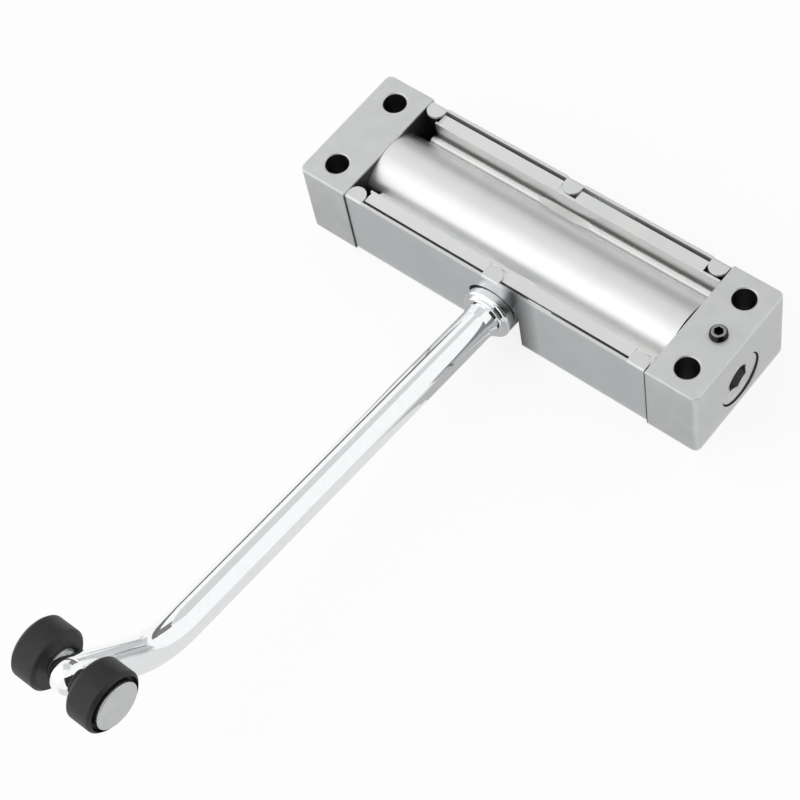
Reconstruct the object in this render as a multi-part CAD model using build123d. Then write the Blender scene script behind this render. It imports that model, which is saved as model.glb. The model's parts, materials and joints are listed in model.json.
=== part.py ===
from build123d import *
import os
from math import cos, pi, sin, sqrt

# Spring door closer: two cast end blocks, a folded cover and a pressed back plate hold a
# spring tube, and a bent arm with two rollers swings on it.
# Millimetres. The origin is the centre of the four mounting holes, on the mounting face.
# +Z points out of the mounting face, +X to the adjuster end, and the arm leaves to -Y.

# Body
body_length = 110.0
body_width = 33.0
body_height = 21.7
block_length = 13.3
corner_radius = 1.6
top_edge_radius = 0.4
front_edge_radius = 1.0

# Mounting holes
hole_end_inset = 6.5
hole_side_inset = 6.0
hole_diameter = 5.5
countersink_diameter = 9.6
hole_rim_chamfer = 0.3

# Cover
cover_wall = 0.7
cover_reveal = 0.3
cover_end_gap = 0.2
cover_shift = 0.15
cover_bend_radius = 1.6
cover_inner_radius = 0.9
cover_edge_drop = 0.5
tab_width = 4.6
tab_reach = 3.9
tab_drop = 0.45
tab_bend_radius = 0.6

# Slot that the arm swings through
slot_radius = 7.2
slot_rise = 1.2
slot_front_overrun = 0.8

# Back plate
plate_wall = 0.9
plate_side_gap = 0.8
plate_drop = 0.9
flange_width = 2.6
barrel_radius = 10.6
barrel_drop = 0.2
barrel_edge_rise = 6.2
bead_radius = 1.15
bead_rise = 1.1
bead_wall_gap = 0.35
groove_wall = 0.6
flange_end_gap = 0.1
notch_side_gap = 0.15
far_ledge_end = 0.6
left_notch_length = 4.2
dent_length = 15.0
dent_depth = 0.75
dent_offset = 1.0

# Spigots of the end blocks
spigot_length = 2.8
lug_thickness = 1.4
lug_drop = 1.2
spigot_clearance = 0.1
shell_clearance = 0.45

# Spring tube and its bearings
tube_radius = 7.0
tube_wall = 1.1
tube_front_gap = 1.1
fit_clearance = 0.02
running_clearance = 0.05
end_play = 0.1
washer_thickness = 0.8
washer_overhang = 0.2
trunnion_length = 9.6
pivot_bush_radius = 5.0
pivot_bush_wall = 1.4
pivot_bush_length = 9.0
pivot_bore_depth = 10.0
journal_bush_wall = 1.5
journal_bush_length = 4.8
tube_pin_radius = 1.0
tube_pin_inset = 2.8
tube_pin_set_back = 0.25

# Torsion spring
wire_radius = 1.1
coil_pitch = 2.3
coil_clearance = 0.3
coil_end_space = 8.6
tang_bite = 1.0
tang_slot_side_gap = 0.15
tang_slot_end_gap = 0.2
stub_clearance = 0.3
stub_overlap = 2.2
plug_to_coil_gap = 1.3

# Core rod
core_step = 0.85
core_end_step = 1.05
core_end_length = 5.3
core_end_play = 0.3

# Tension adjuster
adjuster_shoulder = 2.25
adjuster_head_clearance = 0.1
adjuster_head_length = 8.9
adjuster_set_back = 0.5
adjuster_rim_chamfer = 0.25
journal_clearance = 0.1
key_across_flats = 6.0
key_turn = 30.0
key_depth = 6.0
key_mouth_radius = 4.4
key_mouth_depth = 0.5
lock_groove_depth = 0.75
lock_groove_half_width = 1.6
lock_groove_floor_half_width = 0.9

# Lock screw
lock_screw_inset = 5.8
lock_screw_radius = 2.0
lock_screw_clearance = 0.05
lock_screw_proud = 1.4
lock_screw_pitch = 0.7
lock_screw_thread_depth = 0.35
lock_screw_chamfer = 0.45
lock_screw_point_radius = 0.8
lock_screw_point_length = 1.2
lock_screw_seat_gap = 0.15
lock_screw_key_flats = 2.0
lock_screw_key_depth = 2.2

# Arm
arm_tilt = 6.0
arm_radius = 4.0
boss_neck_radius = 4.6
boss_flange_radius = 6.4
boss_flange_start = 15.6
boss_length = 19.2
boss_edge_radius = 0.6
boss_spigot_radius = 3.5
collar_radius = 5.4
collar_thickness = 0.9
collar_edge_radius = 0.35
arm_thread_radius = 3.0
arm_thread_length = 9.6
arm_neck_radius = 3.7
arm_neck_length = 0.4
arm_flare_radius = 4.3
arm_flare_length = 2.2
arm_straight_end = 118.2
arm_bend_radius = 20.0
arm_bend_angle = 42.0
arm_tail_length = 18.3
arm_dome_overrun = 1.8

# Rollers
axle_radius = 2.0
axle_flat_inset = 0.5
axle_flat_radius = 3.8
axle_washer_radius = 3.4
axle_washer_thickness = 0.5
roller_radius = 7.0
roller_width = 6.7
roller_side_gap = 0.1
roller_chamfer = 0.7
roller_edge_radius = 0.6
roller_hub_radius = 5.3
roller_groove_width = 1.0
roller_groove_depth = 1.2
roller_bush_radius = 3.2
cap_overhang = 0.05
cap_thickness = 0.55
cap_gap = 0.15
cap_edge_radius = 0.2
cap_skin = 0.2

# Places worked out from the sizes
half_length = body_length / 2
half_width = body_width / 2
block_inner_x = half_length - block_length
hole_spacing_x = body_length - 2 * hole_end_inset
hole_spacing_y = body_width - 2 * hole_side_inset
lock_screw_x = half_length - lock_screw_inset
hinge_depth = body_height - cover_wall - tube_front_gap - tube_radius
slot_side_depth = hinge_depth - slot_rise
barrel_edge_depth = hinge_depth - barrel_edge_rise
bead_depth = barrel_edge_depth - bead_rise
cover_half_width = half_width - cover_reveal
cover_inner_y = cover_half_width - cover_wall
cover_end_x = block_inner_x - cover_end_gap
web_inner_z = -body_height + cover_wall
tab_tip_y = cover_half_width - tab_reach
tab_under_z = -tab_drop - cover_wall
end_tab_x = cover_end_x - tab_width / 2
flange_outer_y = cover_inner_y - plate_side_gap
flange_inner_y = flange_outer_y - flange_width
flange_end_x = end_tab_x - tab_width / 2 - flange_end_gap
bead_y = flange_inner_y - groove_wall - bead_wall_gap - bead_radius
barrel_centre_z = -barrel_drop - barrel_radius
barrel_inner_radius = barrel_radius - plate_wall
notch_half_width = tab_width / 2 + notch_side_gap
tube_bore = tube_radius - tube_wall
tube_end_x = block_inner_x - washer_thickness - end_play
coil_radius = tube_bore - coil_clearance - wire_radius
coil_turns = round(2 * (tube_end_x - coil_end_space) / coil_pitch)
coil_end_x = coil_pitch * coil_turns / 2
stub_radius = coil_radius - wire_radius - stub_clearance
tang_inner_radius = stub_radius - tang_bite
core_radius = stub_radius - core_step
core_end_radius = core_radius - core_end_step
trunnion_radius = pivot_bush_radius - pivot_bush_wall
journal_radius = tube_bore - journal_bush_wall
adjuster_head_radius = journal_radius + adjuster_shoulder
stub_end_x = coil_end_x - stub_overlap
plug_face_x = coil_end_x + wire_radius + plug_to_coil_gap
head_end_x = half_length - adjuster_set_back
shoulder_x = head_end_x - adjuster_head_length
head_bore_radius = adjuster_head_radius + adjuster_head_clearance
collar_end = boss_length + collar_thickness
washer_start_x = arm_radius - axle_flat_inset
roller_start_x = washer_start_x + axle_washer_thickness + roller_side_gap
roller_end_x = roller_start_x + roller_width
cap_start_x = roller_end_x + cap_gap
cap_radius = roller_hub_radius + cap_overhang
margin = 1.0

tilt = arm_tilt * pi / 180
bend = arm_bend_angle * pi / 180
arm_along = Vector(0, -cos(tilt), sin(tilt))
arm_across = Vector(0, sin(tilt), cos(tilt))
hinge_point = Vector(0, 0, -hinge_depth)


def arm_point(along, across=0.0):
    """Point in the arm's plane, from the hinge axis along and across its straight part."""
    return hinge_point + arm_along * along + arm_across * across


tail_start = arm_point(
    arm_straight_end + arm_bend_radius * sin(bend),
    arm_bend_radius * (1 - cos(bend)),
)
tail_direction = arm_along * cos(bend) + arm_across * sin(bend)
axle_point = tail_start + tail_direction * arm_tail_length
dome_point = axle_point + tail_direction * arm_dome_overrun


def x_span(side, start, end):
    """Lowest and highest X of a stretch between two distances out on one side."""
    return (min(side * start, side * end), max(side * start, side * end))


def rod_x(radius, x_start, x_end, centre=hinge_point):
    """Cylinder along X between two stations, on the hinge axis unless told otherwise."""
    place = Plane(origin=(x_start, centre.Y, centre.Z), x_dir=(0, 1, 0), z_dir=(1, 0, 0))
    bottom = (Align.CENTER, Align.CENTER, Align.MIN)
    return place * Cylinder(radius, x_end - x_start, align=bottom)


def ring_x(outer_radius, inner_radius, x_start, x_end, centre=hinge_point):
    """Plain ring along X."""
    hole = rod_x(inner_radius, x_start - margin, x_end + margin, centre)
    return rod_x(outer_radius, x_start, x_end, centre) - hole


def box_between(x_range, y_range, z_range):
    """Box between two values on each axis."""
    ranges = (x_range, y_range, z_range)
    middle = [(low + high) / 2 for low, high in ranges]
    size = [high - low for low, high in ranges]
    return Pos(*middle) * Box(*size)


def arm_rod_between(radius, start, end):
    """Cylinder along the arm's straight part between two distances from the hinge axis."""
    place = Plane(origin=arm_point(start), x_dir=(1, 0, 0), z_dir=arm_along)
    bottom = (Align.CENTER, Align.CENTER, Align.MIN)
    return place * Cylinder(radius, end - start, align=bottom)


def turned(profile, origin, x_dir, z_dir):
    """Solid of revolution from (radius, distance) points about z_dir through origin."""
    place = Plane(origin=origin, x_dir=x_dir, z_dir=z_dir)
    face = Plane.XZ * make_face(Polyline(*profile, close=True))
    return place * revolve(face, Axis.Z)


def end_block(side):
    """Cast end block: side is +1 for the adjuster end and -1 for the plain end."""
    x_range = x_span(side, block_inner_x, half_length)
    block = box_between(x_range, (-half_width, half_width), (-body_height, 0))
    uprights = block.edges().filter_by(Axis.Z).sort_by(Axis.X)
    outer_uprights = uprights[-2:] if side > 0 else uprights[:2]
    block = fillet(outer_uprights, corner_radius)
    block = fillet(block.faces().sort_by(Axis.Z)[-1].edges(), top_edge_radius)
    front_edges = block.faces().sort_by(Axis.Z)[0].edges()
    block = fillet(front_edges, front_edge_radius)
    return block + end_spigots(side) - block_holes(side)


def end_spigots(side):
    """Two lugs under the end tabs and a shell that carries the back plate's barrel."""
    x_range = x_span(side, block_inner_x - spigot_length, block_inner_x + margin)
    lug_outer = cover_inner_y - spigot_clearance
    lug_z = (web_inner_z + cover_inner_radius, tab_under_z - lug_drop)
    lug = box_between(x_range, (lug_outer - lug_thickness, lug_outer), lug_z)
    barrel_axis = Vector(0, 0, barrel_centre_z)
    shell = rod_x(barrel_inner_radius - spigot_clearance, *x_range, barrel_axis)
    shell -= rod_x(tube_radius + shell_clearance, *x_range)
    keep_z = (-barrel_edge_depth + spigot_clearance, 0)
    shell &= box_between(x_range, (-half_width, half_width), keep_z)
    return [lug, lug.mirror(Plane.XZ), shell]


def block_holes(side):
    """Countersunk mounting holes."""
    holes = []
    bore_radius = hole_diameter / 2
    sink_radius = countersink_diameter / 2
    sink_depth = sink_radius - bore_radius
    profile = [
        (0, margin),
        (bore_radius + hole_rim_chamfer, margin),
        (bore_radius + hole_rim_chamfer, 0),
        (bore_radius, -hole_rim_chamfer),
        (bore_radius, -body_height + sink_depth),
        (sink_radius + margin, -body_height - margin),
        (0, -body_height - margin),
    ]
    for y in (-hole_spacing_y / 2, hole_spacing_y / 2):
        centre = (side * hole_spacing_x / 2, y, 0)
        holes.append(turned(profile, centre, (1, 0, 0), (0, 0, 1)))
    return holes


def end_block_left():
    """Plain end block with a blind bore for the pivot bush."""
    bore = rod_x(pivot_bush_radius, -block_inner_x - pivot_bore_depth, -block_inner_x + margin)
    return end_block(-1) - bore


def end_block_right():
    """Adjuster end block with a stepped bore and a tapped hole for the lock screw."""
    block = end_block(1)
    block -= rod_x(head_bore_radius, shoulder_x, half_length + margin)
    block -= rod_x(journal_radius + journal_clearance, block_inner_x - margin, shoulder_x + margin)
    rim = [
        (0, half_length - adjuster_rim_chamfer),
        (head_bore_radius, half_length - adjuster_rim_chamfer),
        (head_bore_radius + adjuster_rim_chamfer + margin, half_length + margin),
        (0, half_length + margin),
    ]
    block -= turned(rim, hinge_point, (0, 1, 0), (1, 0, 0))
    hole_radius = lock_screw_radius + lock_screw_clearance
    hole_height = hinge_depth + margin
    hole_centre_z = -hinge_depth + hole_height / 2
    return block - Pos(lock_screw_x, 0, hole_centre_z) * Cylinder(hole_radius, hole_height)


def tab(x_centre):
    """Folded tab with a half-round tip, on the +Y side."""
    tip_centre_y = tab_tip_y + tab_width / 2
    outline = Pos(x_centre, tip_centre_y) * Circle(tab_width / 2)
    straight = cover_half_width - tip_centre_y
    outline += Pos(x_centre, tip_centre_y + straight / 2) * Rectangle(tab_width, straight)
    outline &= Pos(x_centre, cover_half_width - tab_reach / 2) * Rectangle(tab_width, tab_reach)
    sheet = Pos(0, 0, tab_under_z) * extrude(outline, cover_wall)
    root_edge = sheet.edges().filter_by(Axis.X).sort_by(Axis.Y)[-2:].sort_by(Axis.Z)[-1]
    return fillet(root_edge, tab_bend_radius)


def tab_seat(x_centre):
    """Piece cut from the side's top edge where a tab folds over, on the +Y side."""
    x_range = (x_centre - tab_width / 2, x_centre + tab_width / 2)
    return box_between(x_range, (cover_inner_y - margin, half_width), (tab_under_z, 0))


def arm_slot():
    """Round-ended slot in the arm side that runs on across the front of the cover."""
    round_end_z = -slot_side_depth
    side_outline = Pos(0, round_end_z) * Circle(slot_radius)
    fall = body_height - slot_side_depth + margin
    side_outline += Pos(0, round_end_z - fall / 2) * Rectangle(2 * slot_radius, fall)
    side_depth = cover_wall + cover_bend_radius + margin
    side_plane = Plane(origin=(0, -cover_half_width - margin, 0), x_dir=(1, 0, 0), z_dir=(0, -1, 0))
    side_cut = extrude(side_plane * side_outline, -side_depth)
    front_outline = Pos(0, slot_front_overrun) * Circle(slot_radius)
    run = cover_half_width + slot_front_overrun + margin
    front_outline += Pos(0, slot_front_overrun - run / 2) * Rectangle(2 * slot_radius, run)
    front_depth = cover_wall + cover_inner_radius + margin
    front_cut = Pos(0, 0, -body_height - margin) * extrude(front_outline, front_depth)
    return side_cut + front_cut


def channel_cover():
    """Folded U-shaped cover with six tabs and the arm slot, set close to the left block."""
    x_range = (-cover_end_x, cover_end_x)
    outer = box_between(
        x_range, (-cover_half_width, cover_half_width), (-body_height, -cover_edge_drop)
    )
    outer = fillet(outer.edges().filter_by(Axis.X).group_by(Axis.Z)[0], cover_bend_radius)
    inner = box_between(x_range, (-cover_inner_y, cover_inner_y), (web_inner_z, 0))
    inner = fillet(inner.edges().filter_by(Axis.X).group_by(Axis.Z)[0], cover_inner_radius)
    cover = outer - inner - arm_slot()
    for x_centre in (-end_tab_x, 0, end_tab_x):
        seat = tab_seat(x_centre)
        cover = cover - seat - seat.mirror(Plane.XZ)
        folded = tab(x_centre)
        cover = cover + folded + folded.mirror(Plane.XZ)
    return Pos(-cover_shift, 0, 0) * cover


def plate_ledge(start, end):
    """Strip of the back plate set down under a tab, on the +Y side."""
    top = tab_under_z - running_clearance
    y_range = (flange_inner_y - groove_wall, flange_outer_y)
    return box_between((start, end), y_range, (top - plate_wall, top))


def plate_side(ledge_end):
    """Bead, groove and flange of the back plate on the +Y side, with a ledge under the tab."""
    length_range = (-cover_end_x, cover_end_x)
    floor_z = (-barrel_edge_depth, -barrel_edge_depth + plate_wall)
    floor_start = sqrt(barrel_inner_radius**2 - (barrel_centre_z + barrel_edge_depth) ** 2)
    floor_end = flange_inner_y
    side = box_between(length_range, (floor_start, floor_end), floor_z)
    wall_z = (-barrel_edge_depth, -plate_drop)
    side += box_between(length_range, (floor_end - groove_wall, floor_end), wall_z)
    side += rod_x(bead_radius, *length_range, Vector(0, bead_y, -bead_depth))
    flange_z = (-plate_drop - plate_wall, -plate_drop)
    flange_y = (floor_end - groove_wall, flange_outer_y)
    flange = box_between((-flange_end_x, flange_end_x), flange_y, flange_z)
    notch_x = (-notch_half_width, notch_half_width)
    flange -= box_between(notch_x, (floor_end, half_width), (-body_height, 0))
    ledge = plate_ledge(-notch_half_width - plate_wall, ledge_end)
    dent_radius = (dent_length**2 / 4 + dent_depth**2) / (2 * dent_depth)
    dent_z = -bead_depth + bead_radius - dent_depth + dent_radius
    dent_place = Plane(
        origin=(dent_offset, bead_y - 2 * bead_radius, dent_z), x_dir=(1, 0, 0), z_dir=(0, 1, 0)
    )
    bottom = (Align.CENTER, Align.CENTER, Align.MIN)
    dent = dent_place * Cylinder(dent_radius, 3 * bead_radius, align=bottom)
    return side + flange + ledge - dent


def back_plate():
    """Pressed back plate: a barrel over the tube between two beads and two flanges."""
    x_range = (-cover_end_x, cover_end_x)
    barrel_axis = Vector(0, 0, barrel_centre_z)
    barrel = ring_x(barrel_radius, barrel_inner_radius, *x_range, barrel_axis)
    barrel &= box_between(x_range, (-half_width, half_width), (-barrel_edge_depth, 0))
    far_side = plate_side(far_ledge_end)
    near_side = plate_side(notch_half_width + plate_wall) + plate_ledge(flange_end_x, cover_end_x)
    plate = barrel + far_side + near_side.mirror(Plane.XZ)
    notch_x = (-cover_end_x - margin, -cover_end_x + left_notch_length)
    notch = box_between(notch_x, (bead_y - bead_radius, half_width), (-body_height, 0))
    plate = plate - notch - notch.mirror(Plane.XZ)
    return Pos(-cover_shift, 0, 0) * plate


def spring_tube():
    """Tube that carries the arm boss and houses the spring."""
    tube = ring_x(tube_radius, tube_bore, -tube_end_x, tube_end_x)
    tube -= arm_rod_between(boss_spigot_radius + fit_clearance, 0, tube_radius + margin)
    return tube - tube_pin_solid(tube_pin_radius + fit_clearance, tube_radius + margin)


def tube_pin_solid(radius, reach):
    """Cross pin shape through the tube and its end plug."""
    place = Pos(-tube_end_x + tube_pin_inset, 0, -hinge_depth)
    return place * Cylinder(radius, 2 * reach)


def tube_plug_pin():
    """Cross pin that turns the end plug with the tube, a little short of flush."""
    return tube_pin_solid(tube_pin_radius, tube_radius - tube_pin_set_back)


def tang_slot(side):
    """Slot in a spring stub that takes the tang of the spring."""
    half = wire_radius + tang_slot_side_gap
    x_range = x_span(side, stub_end_x - margin, coil_end_x + half)
    floor_radius = tang_inner_radius - tang_slot_end_gap
    z_range = (-hinge_depth + floor_radius, -hinge_depth + stub_radius + margin)
    return box_between(x_range, (-half, half), z_range)


def core_socket(side):
    """Blind hole in a spring stub that carries an end of the core rod."""
    radius = core_end_radius + running_clearance
    return rod_x(radius, *x_span(side, stub_end_x - margin, stub_end_x + core_end_length))


def tube_end_plug():
    """Left end plug: a disc in the tube, a trunnion to the left and a spring stub."""
    plug = rod_x(tube_bore - fit_clearance, -tube_end_x, -plug_face_x)
    plug += rod_x(trunnion_radius, -tube_end_x - trunnion_length, -tube_end_x)
    plug += rod_x(stub_radius, -plug_face_x, -stub_end_x)
    plug -= tang_slot(-1)
    plug -= core_socket(-1)
    return plug - tube_pin_solid(tube_pin_radius + fit_clearance, tube_radius + margin)


def pivot_bush_left():
    """Plain bush for the left trunnion."""
    inner = trunnion_radius + running_clearance
    outer = pivot_bush_radius - fit_clearance
    return ring_x(outer, inner, -block_inner_x - pivot_bush_length, -block_inner_x)


def thrust_washer_left():
    """Washer between the left block and the tube."""
    inner = trunnion_radius + running_clearance
    outer = tube_radius + washer_overhang
    return ring_x(outer, inner, -block_inner_x, -block_inner_x + washer_thickness)


def thrust_washer_right():
    """Washer between the right block and the tube."""
    inner = journal_radius + journal_clearance
    outer = tube_radius + washer_overhang
    return ring_x(outer, inner, block_inner_x - washer_thickness, block_inner_x)


def journal_bush_right():
    """Bush in the right end of the tube that turns on the adjuster's journal."""
    inner = journal_radius + running_clearance
    outer = tube_bore - fit_clearance
    return ring_x(outer, inner, tube_end_x - journal_bush_length, tube_end_x)


def torsion_spring():
    """Close-wound torsion spring with a radial tang at each end."""
    length = 2 * coil_end_x
    helix = Helix(coil_pitch, length, coil_radius)
    section = Plane(origin=helix @ 0, z_dir=helix % 0) * Circle(wire_radius)
    coil = sweep(section, helix, is_frenet=True)
    bottom = (Align.CENTER, Align.CENTER, Align.MIN)
    tang = Rot(0, 90, 0) * Cylinder(wire_radius, coil_radius - tang_inner_radius, align=bottom)
    for station in (0, length):
        coil += Pos(tang_inner_radius, 0, station) * tang
    place = Plane(origin=(-coil_end_x, 0, -hinge_depth), x_dir=(0, 0, 1), z_dir=(1, 0, 0))
    return place * coil


def core_rod():
    """Rod inside the spring, stepped down at both ends."""
    shoulder = stub_end_x - core_end_play
    rod = rod_x(core_radius, -shoulder, shoulder)
    end = stub_end_x + core_end_length - core_end_play
    return rod + rod_x(core_end_radius, -end, end)


def hex_socket(across_flats, depth):
    """Hexagonal prism that opens at z = 0 and goes down."""
    corner_to_corner = across_flats / cos(pi / 6)
    outline = RegularPolygon(corner_to_corner / 2, 6)
    return Pos(0, 0, -depth) * extrude(outline, depth + margin)


def adjuster_plug():
    """Tension adjuster: a keyed head, a journal for the tube and a spring stub."""
    groove_floor = adjuster_head_radius - lock_groove_depth
    head_edge = adjuster_head_radius - adjuster_rim_chamfer
    profile = [
        (0, stub_end_x),
        (stub_radius, stub_end_x),
        (stub_radius, plug_face_x),
        (journal_radius, plug_face_x),
        (journal_radius, shoulder_x),
        (adjuster_head_radius, shoulder_x),
        (adjuster_head_radius, lock_screw_x - lock_groove_half_width),
        (groove_floor, lock_screw_x - lock_groove_floor_half_width),
        (groove_floor, lock_screw_x + lock_groove_floor_half_width),
        (adjuster_head_radius, lock_screw_x + lock_groove_half_width),
        (adjuster_head_radius, head_end_x - adjuster_rim_chamfer),
        (head_edge, head_end_x),
        (0, head_end_x),
    ]
    plug = turned(profile, hinge_point, (0, 1, 0), (1, 0, 0))
    face = Plane(origin=(head_end_x, 0, -hinge_depth), x_dir=(0, 1, 0), z_dir=(1, 0, 0))
    plug -= face * Rot(0, 0, key_turn) * hex_socket(key_across_flats, key_depth)
    flat_radius = key_across_flats / 2
    mouth = [(0, -key_mouth_depth), (flat_radius, -key_mouth_depth), (key_mouth_radius, 0), (0, 0)]
    plug -= turned(mouth, (head_end_x, 0, -hinge_depth), (0, 1, 0), (1, 0, 0))
    return plug - tang_slot(1) - core_socket(1)


def lock_screw():
    """Set screw whose point holds the adjuster, with ring grooves for its thread."""
    groove_floor_z = -hinge_depth + adjuster_head_radius - lock_groove_depth
    point_z = groove_floor_z + lock_screw_seat_gap
    shank_z = point_z + lock_screw_point_length
    top = lock_screw_proud
    profile = [
        (0, point_z),
        (lock_screw_point_radius, point_z),
        (lock_screw_radius, shank_z),
        (lock_screw_radius, top - lock_screw_chamfer),
        (lock_screw_radius - lock_screw_chamfer, top),
        (0, top),
    ]
    screw = turned(profile, (lock_screw_x, 0, 0), (1, 0, 0), (0, 0, 1))
    groove_z = top - lock_screw_chamfer - lock_screw_pitch / 2
    half_groove = lock_screw_pitch / 3
    while groove_z - half_groove > shank_z:
        groove = [
            (lock_screw_radius - lock_screw_thread_depth, groove_z),
            (lock_screw_radius + margin, groove_z + half_groove + margin),
            (lock_screw_radius + margin, groove_z - half_groove - margin),
        ]
        screw -= turned(groove, (lock_screw_x, 0, 0), (1, 0, 0), (0, 0, 1))
        groove_z -= lock_screw_pitch
    key = Pos(lock_screw_x, 0, top) * hex_socket(lock_screw_key_flats, lock_screw_key_depth)
    return screw - key


def arm_boss():
    """Boss brazed to the tube, with a flange at the slot and a tapped hole for the arm."""
    neck = arm_rod_between(boss_neck_radius, 0, boss_flange_start)
    flange = arm_rod_between(boss_flange_radius, boss_flange_start, boss_length)
    flange = fillet(flange.edges().filter_by(GeomType.CIRCLE).sort_by(Axis.Y)[0], boss_edge_radius)
    boss = neck + flange - rod_x(tube_radius + fit_clearance, -half_length, half_length)
    tube_middle = tube_radius - tube_wall / 2
    boss += arm_rod_between(boss_spigot_radius, tube_middle, boss_flange_start)
    hole_bottom = arm_thread_length - core_end_play
    return boss - arm_rod_between(arm_thread_radius + fit_clearance, hole_bottom, boss_length)


def lock_collar():
    """Ring clamped between the boss and the arm's shoulder."""
    collar = arm_rod_between(collar_radius, boss_length, collar_end)
    collar = fillet(collar.edges().filter_by(GeomType.CIRCLE).sort_by(Axis.Y)[0], collar_edge_radius)
    return collar - arm_rod_between(arm_thread_radius + fit_clearance, boss_length, collar_end)


def arm_rod():
    """Bent round arm: a threaded end, a flared shoulder, one bend and a domed end."""
    flare_start = collar_end + arm_neck_length
    flare_end = flare_start + arm_flare_length
    shoulder = [
        (0, arm_thread_length),
        (arm_thread_radius, arm_thread_length),
        (arm_thread_radius, collar_end),
        (arm_neck_radius, collar_end),
        (arm_neck_radius, flare_start),
        (arm_flare_radius, flare_start),
        (arm_radius, flare_end),
        (0, flare_end),
    ]
    arm = turned(shoulder, hinge_point, (1, 0, 0), arm_along)
    arm += arm_rod_between(arm_radius, flare_end, arm_straight_end)
    bend_centre = arm_point(arm_straight_end, arm_bend_radius)
    bend_start = Plane(origin=arm_point(arm_straight_end), x_dir=(1, 0, 0), z_dir=arm_along)
    bend_axis = Axis(bend_centre, (-1, 0, 0))
    arm += revolve(bend_start * Circle(arm_radius), bend_axis, arm_bend_angle)
    tail = Plane(origin=tail_start, x_dir=(1, 0, 0), z_dir=tail_direction)
    bottom = (Align.CENTER, Align.CENTER, Align.MIN)
    arm += tail * Cylinder(arm_radius, arm_tail_length + arm_dome_overrun, align=bottom)
    arm += Pos(dome_point.X, dome_point.Y, dome_point.Z) * Sphere(arm_radius)
    for start, end in ((washer_start_x, arm_radius + margin), (-arm_radius - margin, -washer_start_x)):
        arm -= rod_x(axle_flat_radius, start, end, axle_point)
    return arm - rod_x(axle_radius + fit_clearance, -arm_radius, arm_radius, axle_point)


def roller_axle():
    """Axle across the arm's end."""
    end = cap_start_x + cap_thickness - cap_skin - running_clearance
    return rod_x(axle_radius, -end, end, axle_point)


def axle_washer(side):
    """Spacer between the arm and a roller."""
    x_range = x_span(side, washer_start_x, washer_start_x + axle_washer_thickness)
    return ring_x(axle_washer_radius, axle_radius + fit_clearance, *x_range, axle_point)


def axle_washers():
    """The two spacers, one each side of the arm."""
    return Compound(children=[axle_washer(-1), axle_washer(1)])


def roller(side):
    """Roller with chamfered and rounded shoulders and a groove round its hub."""
    x_range = x_span(side, roller_start_x, roller_end_x)
    body = rod_x(roller_radius, *x_range, axle_point)
    rims = body.edges().filter_by(GeomType.CIRCLE)
    body = chamfer(rims, roller_chamfer)
    shoulders = [edge for edge in body.edges().filter_by(GeomType.CIRCLE)
                 if edge.radius > roller_radius - roller_chamfer / 2]
    body = fillet(shoulders, roller_edge_radius)
    groove_x = x_span(side, roller_end_x - roller_groove_depth, roller_end_x + margin)
    groove_radius = roller_hub_radius + roller_groove_width
    body -= ring_x(groove_radius, roller_hub_radius, *groove_x, axle_point)
    bore_x = x_span(side, roller_start_x - margin, roller_end_x)
    return body - rod_x(roller_bush_radius + fit_clearance, *bore_x, axle_point)


def roller_bush(side):
    """Sleeve inside a roller."""
    x_range = x_span(side, roller_start_x, roller_end_x)
    return ring_x(roller_bush_radius, axle_radius + running_clearance, *x_range, axle_point)


def axle_cap(side):
    """Disc pressed on an end of the axle."""
    cap_end_x = cap_start_x + cap_thickness
    cap = rod_x(cap_radius, *x_span(side, cap_start_x, cap_end_x), axle_point)
    outer_rim = cap.edges().filter_by(GeomType.CIRCLE).sort_by(Axis.X)[-1 if side > 0 else 0]
    cap = fillet(outer_rim, cap_edge_radius)
    seat_range = x_span(side, cap_start_x - margin, cap_end_x - cap_skin)
    return cap - rod_x(axle_radius + fit_clearance, *seat_range, axle_point)


nodes = {
    "end_block_left": end_block_left(),
    "end_block_right": end_block_right(),
    "channel_cover": channel_cover(),
    "back_plate": back_plate(),
    "spring_tube": spring_tube(),
    "tube_end_plug": tube_end_plug(),
    "tube_plug_pin": tube_plug_pin(),
    "pivot_bush_left": pivot_bush_left(),
    "journal_bush_right": journal_bush_right(),
    "thrust_washer_left": thrust_washer_left(),
    "thrust_washer_right": thrust_washer_right(),
    "torsion_spring": torsion_spring(),
    "core_rod": core_rod(),
    "adjuster_plug": adjuster_plug(),
    "lock_screw": lock_screw(),
    "arm_boss": arm_boss(),
    "lock_collar": lock_collar(),
    "arm_rod": arm_rod(),
    "roller_axle": roller_axle(),
    "axle_washers": axle_washers(),
    "roller_left": roller(-1),
    "roller_right": roller(1),
    "roller_bush_left": roller_bush(-1),
    "roller_bush_right": roller_bush(1),
    "axle_cap_left": axle_cap(-1),
    "axle_cap_right": axle_cap(1),
}

os.makedirs("parts", exist_ok=True)
for name, shape in nodes.items():
    export_step(shape, f"parts/{name}.step")

print("axle centre", axle_point)
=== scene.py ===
import json
import math

import bpy
from mathutils import Matrix, Vector


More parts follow.
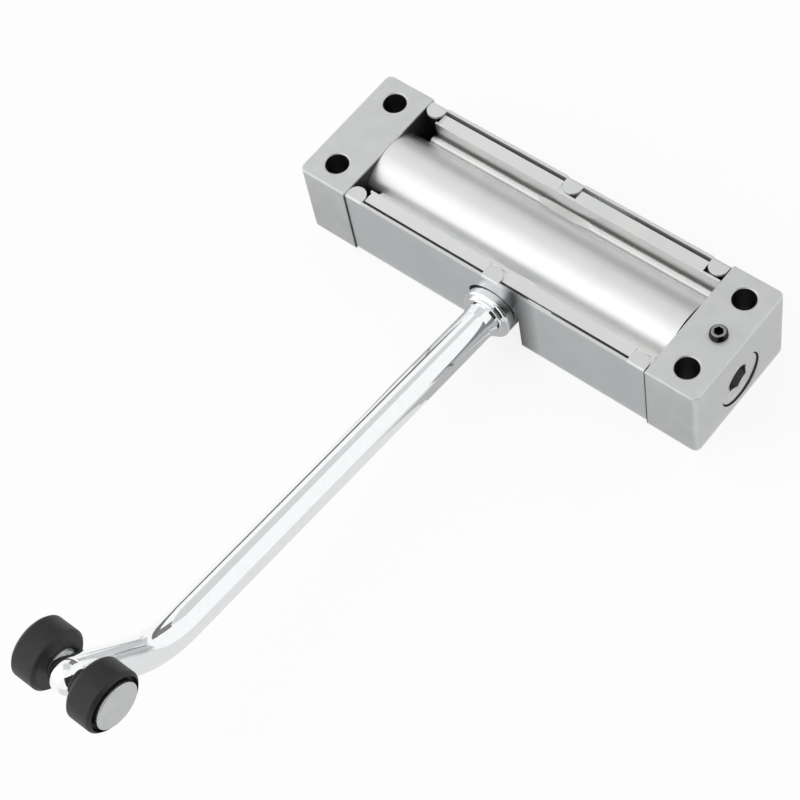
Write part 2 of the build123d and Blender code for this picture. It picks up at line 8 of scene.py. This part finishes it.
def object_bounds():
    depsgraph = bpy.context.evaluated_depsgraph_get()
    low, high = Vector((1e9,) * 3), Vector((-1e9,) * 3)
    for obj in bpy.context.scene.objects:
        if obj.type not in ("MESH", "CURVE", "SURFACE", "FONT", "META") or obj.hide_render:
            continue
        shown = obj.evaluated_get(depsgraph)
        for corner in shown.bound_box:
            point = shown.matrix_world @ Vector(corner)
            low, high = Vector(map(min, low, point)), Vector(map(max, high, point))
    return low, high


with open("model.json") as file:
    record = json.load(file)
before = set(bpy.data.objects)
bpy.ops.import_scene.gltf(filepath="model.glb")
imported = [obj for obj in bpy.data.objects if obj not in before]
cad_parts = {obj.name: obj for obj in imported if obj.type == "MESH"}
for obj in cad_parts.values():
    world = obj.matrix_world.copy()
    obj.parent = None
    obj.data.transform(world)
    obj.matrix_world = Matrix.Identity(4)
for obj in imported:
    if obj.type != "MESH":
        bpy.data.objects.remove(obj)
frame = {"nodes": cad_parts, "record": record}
cad_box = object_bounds()

# Camera: where the photograph was taken from, fitted to the body's corners and the arm
MM = 0.001
EYE = Vector((195.58, -207.91, 392.98)) * MM
AIM = Vector((-1.47, -47.39, -10.0)) * MM
ROLL_DEGREES = 13.764
SENSOR_MM = 36.0
LENS_MM = 98.55
CLIP_START = 0.01

# Studio: the floor is part emission, so it shows white and still keeps the part's shadow
FLOOR_SIZE = 6.0
FLOOR_ROUGHNESS = 0.9
FLOOR_COLOUR = (0.96, 0.96, 0.96)
FLOOR_GLOW = 0.7
FLOOR_WHITE = 1.13
WORLD_STRENGTH = 0.62
WHITE = (1.0, 1.0, 1.0, 1.0)
CARD_LIFT = 0.0002

# Places on the part whose holes get painted shade, in metres in the part's frame
HOLE_X = 0.0485
HOLE_Y = 0.0105
HOLE_RADIUS = 0.0028
HINGE_Z = -0.0129
PLUG_BORE_START = 0.0535
PLUG_BORE_RADIUS = 0.0068

# Spans over which a finish fades from one look to another, most of them into painted shade, in the
# same metres
# Painted shade on the end blocks' inner faces
INNER_FACE_X = (0.0418, 0.0420)
BLOCK_TOP_Z = (-0.0009, -0.0004)
COVER_EDGE_Z = (-0.0012, -0.0006)
# Painted shade on the cover's side beside the boss
BOSS_SHADE_START_X = (0.0030, 0.0060)
BOSS_SHADE_END_X = (0.0070, 0.0125)
COVER_SIDE_Y = (-0.0158, -0.0150)
# Painted shade in the plate's far groove and far left corner
FAR_GROOVE_Y = (0.001, 0.007)
FAR_GROOVE_Z = (-0.0062, -0.0042)
FAR_CORNER_X = (-0.0398, -0.0358)
FAR_CORNER_Y = (0.005, 0.009)
SCREW_TOP_Z = (0.00128, 0.00138)

# Colours used in more than one place
BLACK = (0.0, 0.0, 0.0, 1.0)
PALE_METAL_GREY = (0.86, 0.87, 0.87)


def new_material(name):
    """Empty node material with its output and a principled shader."""
    material = bpy.data.materials.new(name)
    material.use_nodes = True
    tree = material.node_tree
    tree.nodes.clear()
    output = tree.nodes.new("ShaderNodeOutputMaterial")
    shader = tree.nodes.new("ShaderNodeBsdfPrincipled")
    tree.links.new(shader.outputs["BSDF"], output.inputs["Surface"])
    return material, tree, shader


def node(tree, kind, **values):
    """New shader node with its properties and input values set."""
    made = tree.nodes.new(kind)
    for key, value in values.items():
        if key in made.inputs:
            made.inputs[key].default_value = value
        else:
            setattr(made, key, value)
    return made


def position(tree, scale=(1.0, 1.0, 1.0)):
    """Object coordinates in metres, which are the frame's own, stretched by scale."""
    coords = node(tree, "ShaderNodeTexCoord")
    mapping = node(tree, "ShaderNodeMapping", Scale=scale)
    tree.links.new(coords.outputs["Object"], mapping.inputs["Vector"])
    return mapping.outputs["Vector"]


def coordinates(tree):
    """X, Y and Z of the object coordinates, by name."""
    split = node(tree, "ShaderNodeSeparateXYZ")
    tree.links.new(position(tree), split.inputs["Vector"])
    return split.outputs


def noise(tree, vector, scale, detail=3.0, roughness=0.5):
    """Noise value between 0 and 1."""
    made = node(tree, "ShaderNodeTexNoise", Scale=scale, Detail=detail, Roughness=roughness)
    tree.links.new(vector, made.inputs["Vector"])
    return made.outputs["Fac"]


def remap(tree, value, low, high, from_low=0.3, from_high=0.7):
    """Value stretched from one range to another and held inside it."""
    made = node(tree, "ShaderNodeMapRange")
    made.inputs["From Min"].default_value = from_low
    made.inputs["From Max"].default_value = from_high
    made.inputs["To Min"].default_value = low
    made.inputs["To Max"].default_value = high
    tree.links.new(value, made.inputs["Value"])
    return made.outputs["Result"]


def mix_colour(tree, factor, first, second):
    """Colour between two, each a colour or an output, by factor."""
    made = node(tree, "ShaderNodeMix", data_type="RGBA")
    tree.links.new(factor, made.inputs["Factor"])
    for socket, colour in zip([s for s in made.inputs if s.type == "RGBA"], (first, second)):
        if isinstance(colour, bpy.types.NodeSocket):
            tree.links.new(colour, socket)
        else:
            socket.default_value = (*colour, 1.0)
    return [s for s in made.outputs if s.type == "RGBA"][0]


def rise(tree, value, span):
    """0 up to the start of a span, 1 from its end."""
    return remap(tree, value, 0.0, 1.0, *span)


def fall(tree, value, span):
    """1 up to the start of a span, 0 from its end."""
    return remap(tree, value, 1.0, 0.0, *span)


def calc(tree, operation, *values):
    """Math node of one or two values, each a number or an output."""
    made = node(tree, "ShaderNodeMath", operation=operation)
    for socket, value in zip(made.inputs, values):
        if isinstance(value, bpy.types.NodeSocket):
            tree.links.new(value, socket)
        else:
            socket.default_value = value
    return made.outputs["Value"]


def distance(tree, first, second):
    """Distance made by two offsets at right angles."""
    both = node(tree, "ShaderNodeCombineXYZ")
    tree.links.new(first, both.inputs["X"])
    tree.links.new(second, both.inputs["Y"])
    length = node(tree, "ShaderNodeVectorMath", operation="LENGTH")
    tree.links.new(both.outputs["Vector"], length.inputs[0])
    return length.outputs["Value"]


def bump(tree, shader, heights, edge_radius=0.0):
    """Bump from (height, distance) pairs, over softened edges if a radius is given."""
    normal = None
    if edge_radius:
        soft = node(tree, "ShaderNodeBevel", Radius=edge_radius, samples=4)
        normal = soft.outputs["Normal"]
    for height, distance in heights:
        made = node(tree, "ShaderNodeBump", Distance=distance, Strength=1.0)
        tree.links.new(height, made.inputs["Height"])
        if normal:
            tree.links.new(normal, made.inputs["Normal"])
        normal = made.outputs["Normal"]
    tree.links.new(normal, shader.inputs["Normal"])


def hole_shade_mask(tree):
    """1 inside the mounting holes and the adjuster's bore, where shade is painted, 0 on the rest of
    the end blocks.
    """
    place = coordinates(tree)
    from_hole_x = calc(tree, "SUBTRACT", calc(tree, "ABSOLUTE", place["X"]), HOLE_X)
    from_hole_y = calc(tree, "SUBTRACT", calc(tree, "ABSOLUTE", place["Y"]), HOLE_Y)
    in_hole = calc(tree, "LESS_THAN", distance(tree, from_hole_x, from_hole_y), HOLE_RADIUS)
    from_hinge_z = calc(tree, "SUBTRACT", place["Z"], HINGE_Z)
    near_hinge = calc(tree, "LESS_THAN", distance(tree, place["Y"], from_hinge_z), PLUG_BORE_RADIUS)
    at_plug_end = calc(tree, "GREATER_THAN", place["X"], PLUG_BORE_START)
    in_bore = calc(tree, "MULTIPLY", near_hinge, at_plug_end)
    return calc(tree, "MAXIMUM", in_hole, in_bore)


def cast_zinc():
    """Satin cast zinc with a faint mottle and painted shade inside its drilled holes and on its inner
    face.
    """
    material, tree, shader = new_material("cast_zinc_finish")
    cloudy = noise(tree, position(tree), 260.0, 4.0, 0.6)
    grains = noise(tree, position(tree), 2600.0, 2.0)
    colour = mix_colour(tree, remap(tree, cloudy, 0.0, 1.0), (0.71, 0.72, 0.72), (0.77, 0.78, 0.78))
    place = coordinates(tree)
    inner_face = fall(tree, calc(tree, "ABSOLUTE", place["X"]), INNER_FACE_X)
    inner_face_shade = calc(tree, "MULTIPLY", inner_face, fall(tree, place["Z"], BLOCK_TOP_Z))
    # Painted shade: the inner face below the top edge is darkened to near black
    inner_shaded_colour = mix_colour(tree, inner_face_shade, colour, (0.09, 0.09, 0.09))
    # Painted shade: the mounting holes and the adjuster's bore are darkened to near black
    dark = mix_colour(tree, hole_shade_mask(tree), inner_shaded_colour, (0.05, 0.05, 0.05))
    tree.links.new(dark, shader.inputs["Base Color"])
    tree.links.new(remap(tree, cloudy, 0.42, 0.52), shader.inputs["Roughness"])
    shader.inputs["Metallic"].default_value = 0.75
    bump(tree, shader, [(cloudy, 0.00003), (grains, 0.00001)], 0.0002)
    return material


def cover_coat():
    """Satin silver-grey coat on the folded cover, paler along its top edge and with painted shade
    beside the boss.
    """
    material, tree, shader = new_material("cover_finish")
    cloudy = noise(tree, position(tree), 90.0, 3.0)
    grains = noise(tree, position(tree), 3000.0, 2.0)
    coat = mix_colour(tree, remap(tree, cloudy, 0.0, 1.0), (0.68, 0.705, 0.71), (0.73, 0.755, 0.76))
    place = coordinates(tree)
    pale_top_edge = mix_colour(tree, rise(tree, place["Z"], COVER_EDGE_Z), coat, PALE_METAL_GREY)
    # Painted shade: the cover's side just right of the boss is darkened to near black
    beside_boss = calc(
        tree, "MULTIPLY", rise(tree, place["X"], BOSS_SHADE_START_X), fall(tree, place["X"], BOSS_SHADE_END_X)
    )
    boss_shade = calc(tree, "MULTIPLY", beside_boss, fall(tree, place["Y"], COVER_SIDE_Y))
    colour = mix_colour(tree, boss_shade, pale_top_edge, (0.12, 0.125, 0.13))
    tree.links.new(colour, shader.inputs["Base Color"])
    tree.links.new(remap(tree, grains, 0.30, 0.38), shader.inputs["Roughness"])
    shader.inputs["Metallic"].default_value = 0.6
    bump(tree, shader, [(grains, 0.000005)], 0.00015)
    return material


def pressed_sheet():
    """Bright pressed sheet, drawn along X, with painted shade in its far groove and far left corner.
    """
    material, tree, shader = new_material("plate_finish")
    drawn = noise(tree, position(tree, (12.0, 900.0, 900.0)), 1.0, 4.0, 0.6)
    cloudy = noise(tree, position(tree), 120.0, 3.0)
    bright = mix_colour(tree, remap(tree, cloudy, 0.0, 1.0), PALE_METAL_GREY, (0.91, 0.91, 0.90))
    place = coordinates(tree)
    # Painted shade: the far groove between barrel and bead is darkened
    groove = calc(
        tree, "MULTIPLY", rise(tree, place["Y"], FAR_GROOVE_Y), fall(tree, place["Z"], FAR_GROOVE_Z)
    )
    # Painted shade: the far left corner behind the block is darkened to near black
    corner = calc(
        tree, "MULTIPLY", fall(tree, place["X"], FAR_CORNER_X), rise(tree, place["Y"], FAR_CORNER_Y)
    )
    groove_shaded = mix_colour(tree, groove, bright, (0.46, 0.45, 0.43))
    colour = mix_colour(tree, corner, groove_shaded, (0.10, 0.10, 0.10))
    tree.links.new(colour, shader.inputs["Base Color"])
    tree.links.new(remap(tree, drawn, 0.36, 0.46), shader.inputs["Roughness"])
    shader.inputs["Metallic"].default_value = 1.0
    bump(tree, shader, [(drawn, 0.0000025)], 0.0001)
    return material


def chrome():
    """Mirror chrome with a trace of waviness."""
    material, tree, shader = new_material("chrome_finish")
    waves = noise(tree, position(tree), 60.0, 2.0)
    haze = noise(tree, position(tree), 700.0, 3.0)
    colour = mix_colour(tree, remap(tree, haze, 0.0, 1.0), (0.91, 0.92, 0.93), (0.95, 0.96, 0.97))
    tree.links.new(colour, shader.inputs["Base Color"])
    tree.links.new(remap(tree, haze, 0.05, 0.08), shader.inputs["Roughness"])
    shader.inputs["Metallic"].default_value = 1.0
    bump(tree, shader, [(waves, 0.00001)])
    return material


def satin_steel(name, light, dark, rough, edge=0.0001):
    """Plain satin steel between two greys."""
    material, tree, shader = new_material(name)
    cloudy = noise(tree, position(tree), 400.0, 4.0, 0.6)
    fine = noise(tree, position(tree), 3500.0, 2.0)
    colour = mix_colour(tree, remap(tree, cloudy, 0.0, 1.0), dark, light)
    tree.links.new(colour, shader.inputs["Base Color"])
    tree.links.new(remap(tree, cloudy, rough, rough + 0.1), shader.inputs["Roughness"])
    shader.inputs["Metallic"].default_value = 1.0
    bump(tree, shader, [(fine, 0.000004)], edge)
    return material


def black_rubber():
    """Satin black moulded roller."""
    material, tree, shader = new_material("roller_finish")
    cloudy = noise(tree, position(tree), 300.0, 4.0, 0.6)
    grains = noise(tree, position(tree), 2800.0, 2.0)
    patchy = remap(tree, cloudy, 0.0, 1.0)
    colour = mix_colour(tree, patchy, (0.009, 0.010, 0.011), (0.015, 0.016, 0.017))
    tree.links.new(colour, shader.inputs["Base Color"])
    tree.links.new(remap(tree, grains, 0.46, 0.56), shader.inputs["Roughness"])
    bump(tree, shader, [(grains, 0.00001)], 0.0002)
    return material


def blackened_steel():
    """Black set screw with a paler top face."""
    material, tree, shader = new_material("lock_screw_finish")
    cloudy = noise(tree, position(tree), 900.0, 3.0)
    black = mix_colour(tree, remap(tree, cloudy, 0.0, 1.0), (0.02, 0.02, 0.022), (0.04, 0.04, 0.042))
    pale_screw_top = rise(tree, coordinates(tree)["Z"], SCREW_TOP_Z)
    tree.links.new(mix_colour(tree, pale_screw_top, black, (0.36, 0.37, 0.37)), shader.inputs["Base Color"])
    tree.links.new(remap(tree, cloudy, 0.22, 0.32), shader.inputs["Roughness"])
    shader.inputs["Metallic"].default_value = 1.0
    bump(tree, shader, [(cloudy, 0.000004)], 0.0001)
    return material


def nylon(name, light, dark):
    """Plain moulded nylon."""
    material, tree, shader = new_material(name)
    cloudy = noise(tree, position(tree), 300.0, 3.0)
    colour = mix_colour(tree, remap(tree, cloudy, 0.0, 1.0), dark, light)
    tree.links.new(colour, shader.inputs["Base Color"])
    tree.links.new(remap(tree, cloudy, 0.4, 0.5), shader.inputs["Roughness"])
    bump(tree, shader, [(cloudy, 0.00001)])
    return material


def finishes():
    """Material for each of the record's slots."""
    return {
        "cast_zinc": cast_zinc(),
        "cover_sheet": cover_coat(),
        "plate_sheet": pressed_sheet(),
        "arm_chrome": chrome(),
        "roller_rubber": black_rubber(),
        "cap_steel": satin_steel("cap_finish", (0.66, 0.67, 0.67), (0.59, 0.60, 0.60), 0.30),
        "axle_steel": satin_steel("axle_finish", (0.80, 0.81, 0.81), (0.74, 0.75, 0.75), 0.18),
        "adjuster_nickel": satin_steel(
            "adjuster_finish", (0.76, 0.765, 0.765), (0.70, 0.705, 0.705), 0.16
        ),
        "black_steel": blackened_steel(),
        "tube_steel": satin_steel("tube_finish", (0.42, 0.42, 0.42), (0.34, 0.34, 0.34), 0.35),
        "pin_steel": satin_steel("pin_finish", (0.5, 0.5, 0.5), (0.44, 0.44, 0.44), 0.3),
        "spring_steel": satin_steel("spring_finish", (0.24, 0.24, 0.25), (0.17, 0.17, 0.18), 0.35),
        "bush_nylon": nylon("bush_finish", (0.80, 0.79, 0.75), (0.74, 0.73, 0.69)),
        "washer_nylon": nylon("washer_finish", (0.06, 0.06, 0.065), (0.04, 0.04, 0.045)),
    }


def dress_nodes():
    """Gives every CAD node the finish of its slot."""
    by_slot = finishes()
    slots = {part["node"]: part["material_slot"] for part in frame["record"]["subparts"]}
    for name, obj in frame["nodes"].items():
        for slot in obj.material_slots:
            slot.material = by_slot[slots[name]]


def add_camera():
    """Camera at the photograph's place, aim and roll."""
    data = bpy.data.cameras.new("camera")
    data.sensor_width = SENSOR_MM
    data.lens = LENS_MM
    data.clip_start = CLIP_START
    camera = bpy.data.objects.new("camera", data)
    bpy.context.collection.objects.link(camera)
    look = (AIM - EYE).to_track_quat("-Z", "Y").to_matrix().to_4x4()
    roll = Matrix.Rotation(math.radians(-ROLL_DEGREES), 4, "Z")
    camera.matrix_world = Matrix.Translation(EYE) @ look @ roll
    bpy.context.scene.camera = camera


def seen_directly(tree):
    """1 for rays from the camera, a reflection or glass, and 0 for the light that falls."""
    path = node(tree, "ShaderNodeLightPath")
    seen = path.outputs["Is Camera Ray"]
    for kind in ("Is Glossy Ray", "Is Transmission Ray"):
        seen = calc(tree, "MAXIMUM", seen, path.outputs[kind])
    return seen


def add_floor():
    """Pale floor under the part that shows white to the camera and to metal, with its shadow."""
    bpy.ops.mesh.primitive_plane_add(size=FLOOR_SIZE, location=(0, 0, cad_box[0][2]))
    floor = bpy.context.object
    floor.name = "floor"
    material, tree, shader = new_material("floor_finish")
    shader.inputs["Base Color"].default_value = (*FLOOR_COLOUR, 1.0)
    shader.inputs["Roughness"].default_value = FLOOR_ROUGHNESS
    shader.inputs["Specular IOR Level"].default_value = 0.0
    white = node(tree, "ShaderNodeEmission", Color=WHITE, Strength=FLOOR_WHITE)
    mix = node(tree, "ShaderNodeMixShader")
    tree.links.new(calc(tree, "MULTIPLY", seen_directly(tree), FLOOR_GLOW), mix.inputs["Fac"])
    tree.links.new(shader.outputs["BSDF"], mix.inputs[1])
    tree.links.new(white.outputs["Emission"], mix.inputs[2])
    output = next(made for made in tree.nodes if made.type == "OUTPUT_MATERIAL")
    tree.links.new(mix.outputs["Shader"], output.inputs["Surface"])
    floor.data.materials.append(material)


def add_world():
    """Even studio surround, white where the camera or metal sees it."""
    world = bpy.data.worlds.new("studio")
    world.use_nodes = True
    tree = world.node_tree
    tree.nodes.clear()
    output = tree.nodes.new("ShaderNodeOutputWorld")
    dim = node(tree, "ShaderNodeBackground", Color=WHITE, Strength=WORLD_STRENGTH)
    white = node(tree, "ShaderNodeBackground", Color=WHITE, Strength=1.0)
    mix = node(tree, "ShaderNodeMixShader")
    tree.links.new(seen_directly(tree), mix.inputs["Fac"])
    tree.links.new(dim.outputs["Background"], mix.inputs[1])
    tree.links.new(white.outputs["Background"], mix.inputs[2])
    tree.links.new(mix.outputs["Shader"], output.inputs["Surface"])
    bpy.context.scene.world = world


def add_area(name, place, target, size, energy):
    """Soft area light."""
    data = bpy.data.lights.new(name, "AREA")
    data.shape = "RECTANGLE"
    data.size, data.size_y = size
    data.energy = energy
    lamp = bpy.data.objects.new(name, data)
    bpy.context.collection.objects.link(lamp)
    lamp.location = place
    lamp.rotation_euler = (Vector(target) - Vector(place)).to_track_quat("-Z", "Y").to_euler()


def add_card(name, direction, distance, size, grey):
    """Grey card that only reflections see, facing the part from a direction."""
    place = Vector(direction).normalized() * distance
    bpy.ops.mesh.primitive_plane_add(size=1.0, location=place)
    card = bpy.context.object
    card.name = name
    card.scale = (size[0], size[1], 1.0)
    card.rotation_euler = (-place).to_track_quat("-Z", "Y").to_euler()
    grey_card(card, grey)


def add_table_card(name, x_range, y_range, grey, lift=CARD_LIFT):
    """Grey card that only reflections see, lying on the floor."""
    middle_x = (x_range[0] + x_range[1]) / 2
    middle_y = (y_range[0] + y_range[1]) / 2
    bpy.ops.mesh.primitive_plane_add(size=1.0, location=(middle_x, middle_y, cad_box[0][2] + lift))
    card = bpy.context.object
    card.name = name
    card.scale = (x_range[1] - x_range[0], y_range[1] - y_range[0], 1.0)
    grey_card(card, grey)


def grey_card(card, grey):
    """Finish of a card: an even grey that neither the camera nor the falling light meets."""
    material, tree, shader = new_material(card.name + "_finish")
    shader.inputs["Base Color"].default_value = BLACK
    shader.inputs["Specular IOR Level"].default_value = 0.0
    shader.inputs["Emission Color"].default_value = (grey, grey, grey, 1.0)
    shader.inputs["Emission Strength"].default_value = 1.0
    card.data.materials.append(material)
    card.visible_camera = False
    card.visible_diffuse = False
    card.visible_shadow = False


dress_nodes()
add_camera()
add_world()
add_floor()
add_area("key", (-0.55, -0.75, 0.62), (0, -0.03, 0), (1.3, 1.3), 1.4)
add_area("side", (-0.95, -0.45, 0.16), (0, -0.02, -0.01), (0.8, 0.5), 0.7)
add_card("card_back", (-0.66, 0.77, 0.27), 1.6, (2.3, 0.40), 0.18)
add_card("card_far", (-0.26, 0.80, 0.54), 1.6, (0.7, 0.85), 0.22)
add_card("card_top", (-0.25, 0.30, 0.92), 1.5, (1.05, 1.05), 0.70)
add_card("card_camera", (0.78, -0.45, 0.42), 1.5, (1.7, 1.7), 0.03)
add_table_card("card_near", (-0.075, 0.056), (-0.040, -0.0168), 0.48)
add_table_card("card_right", (0.056, 0.09), (-0.0168, 0.05), 0.64)
add_table_card("card_wide", (-0.01, 0.3), (-0.3, 0.05), 0.78, CARD_LIFT / 2)

bpy.context.scene.view_settings.view_transform = "Standard"
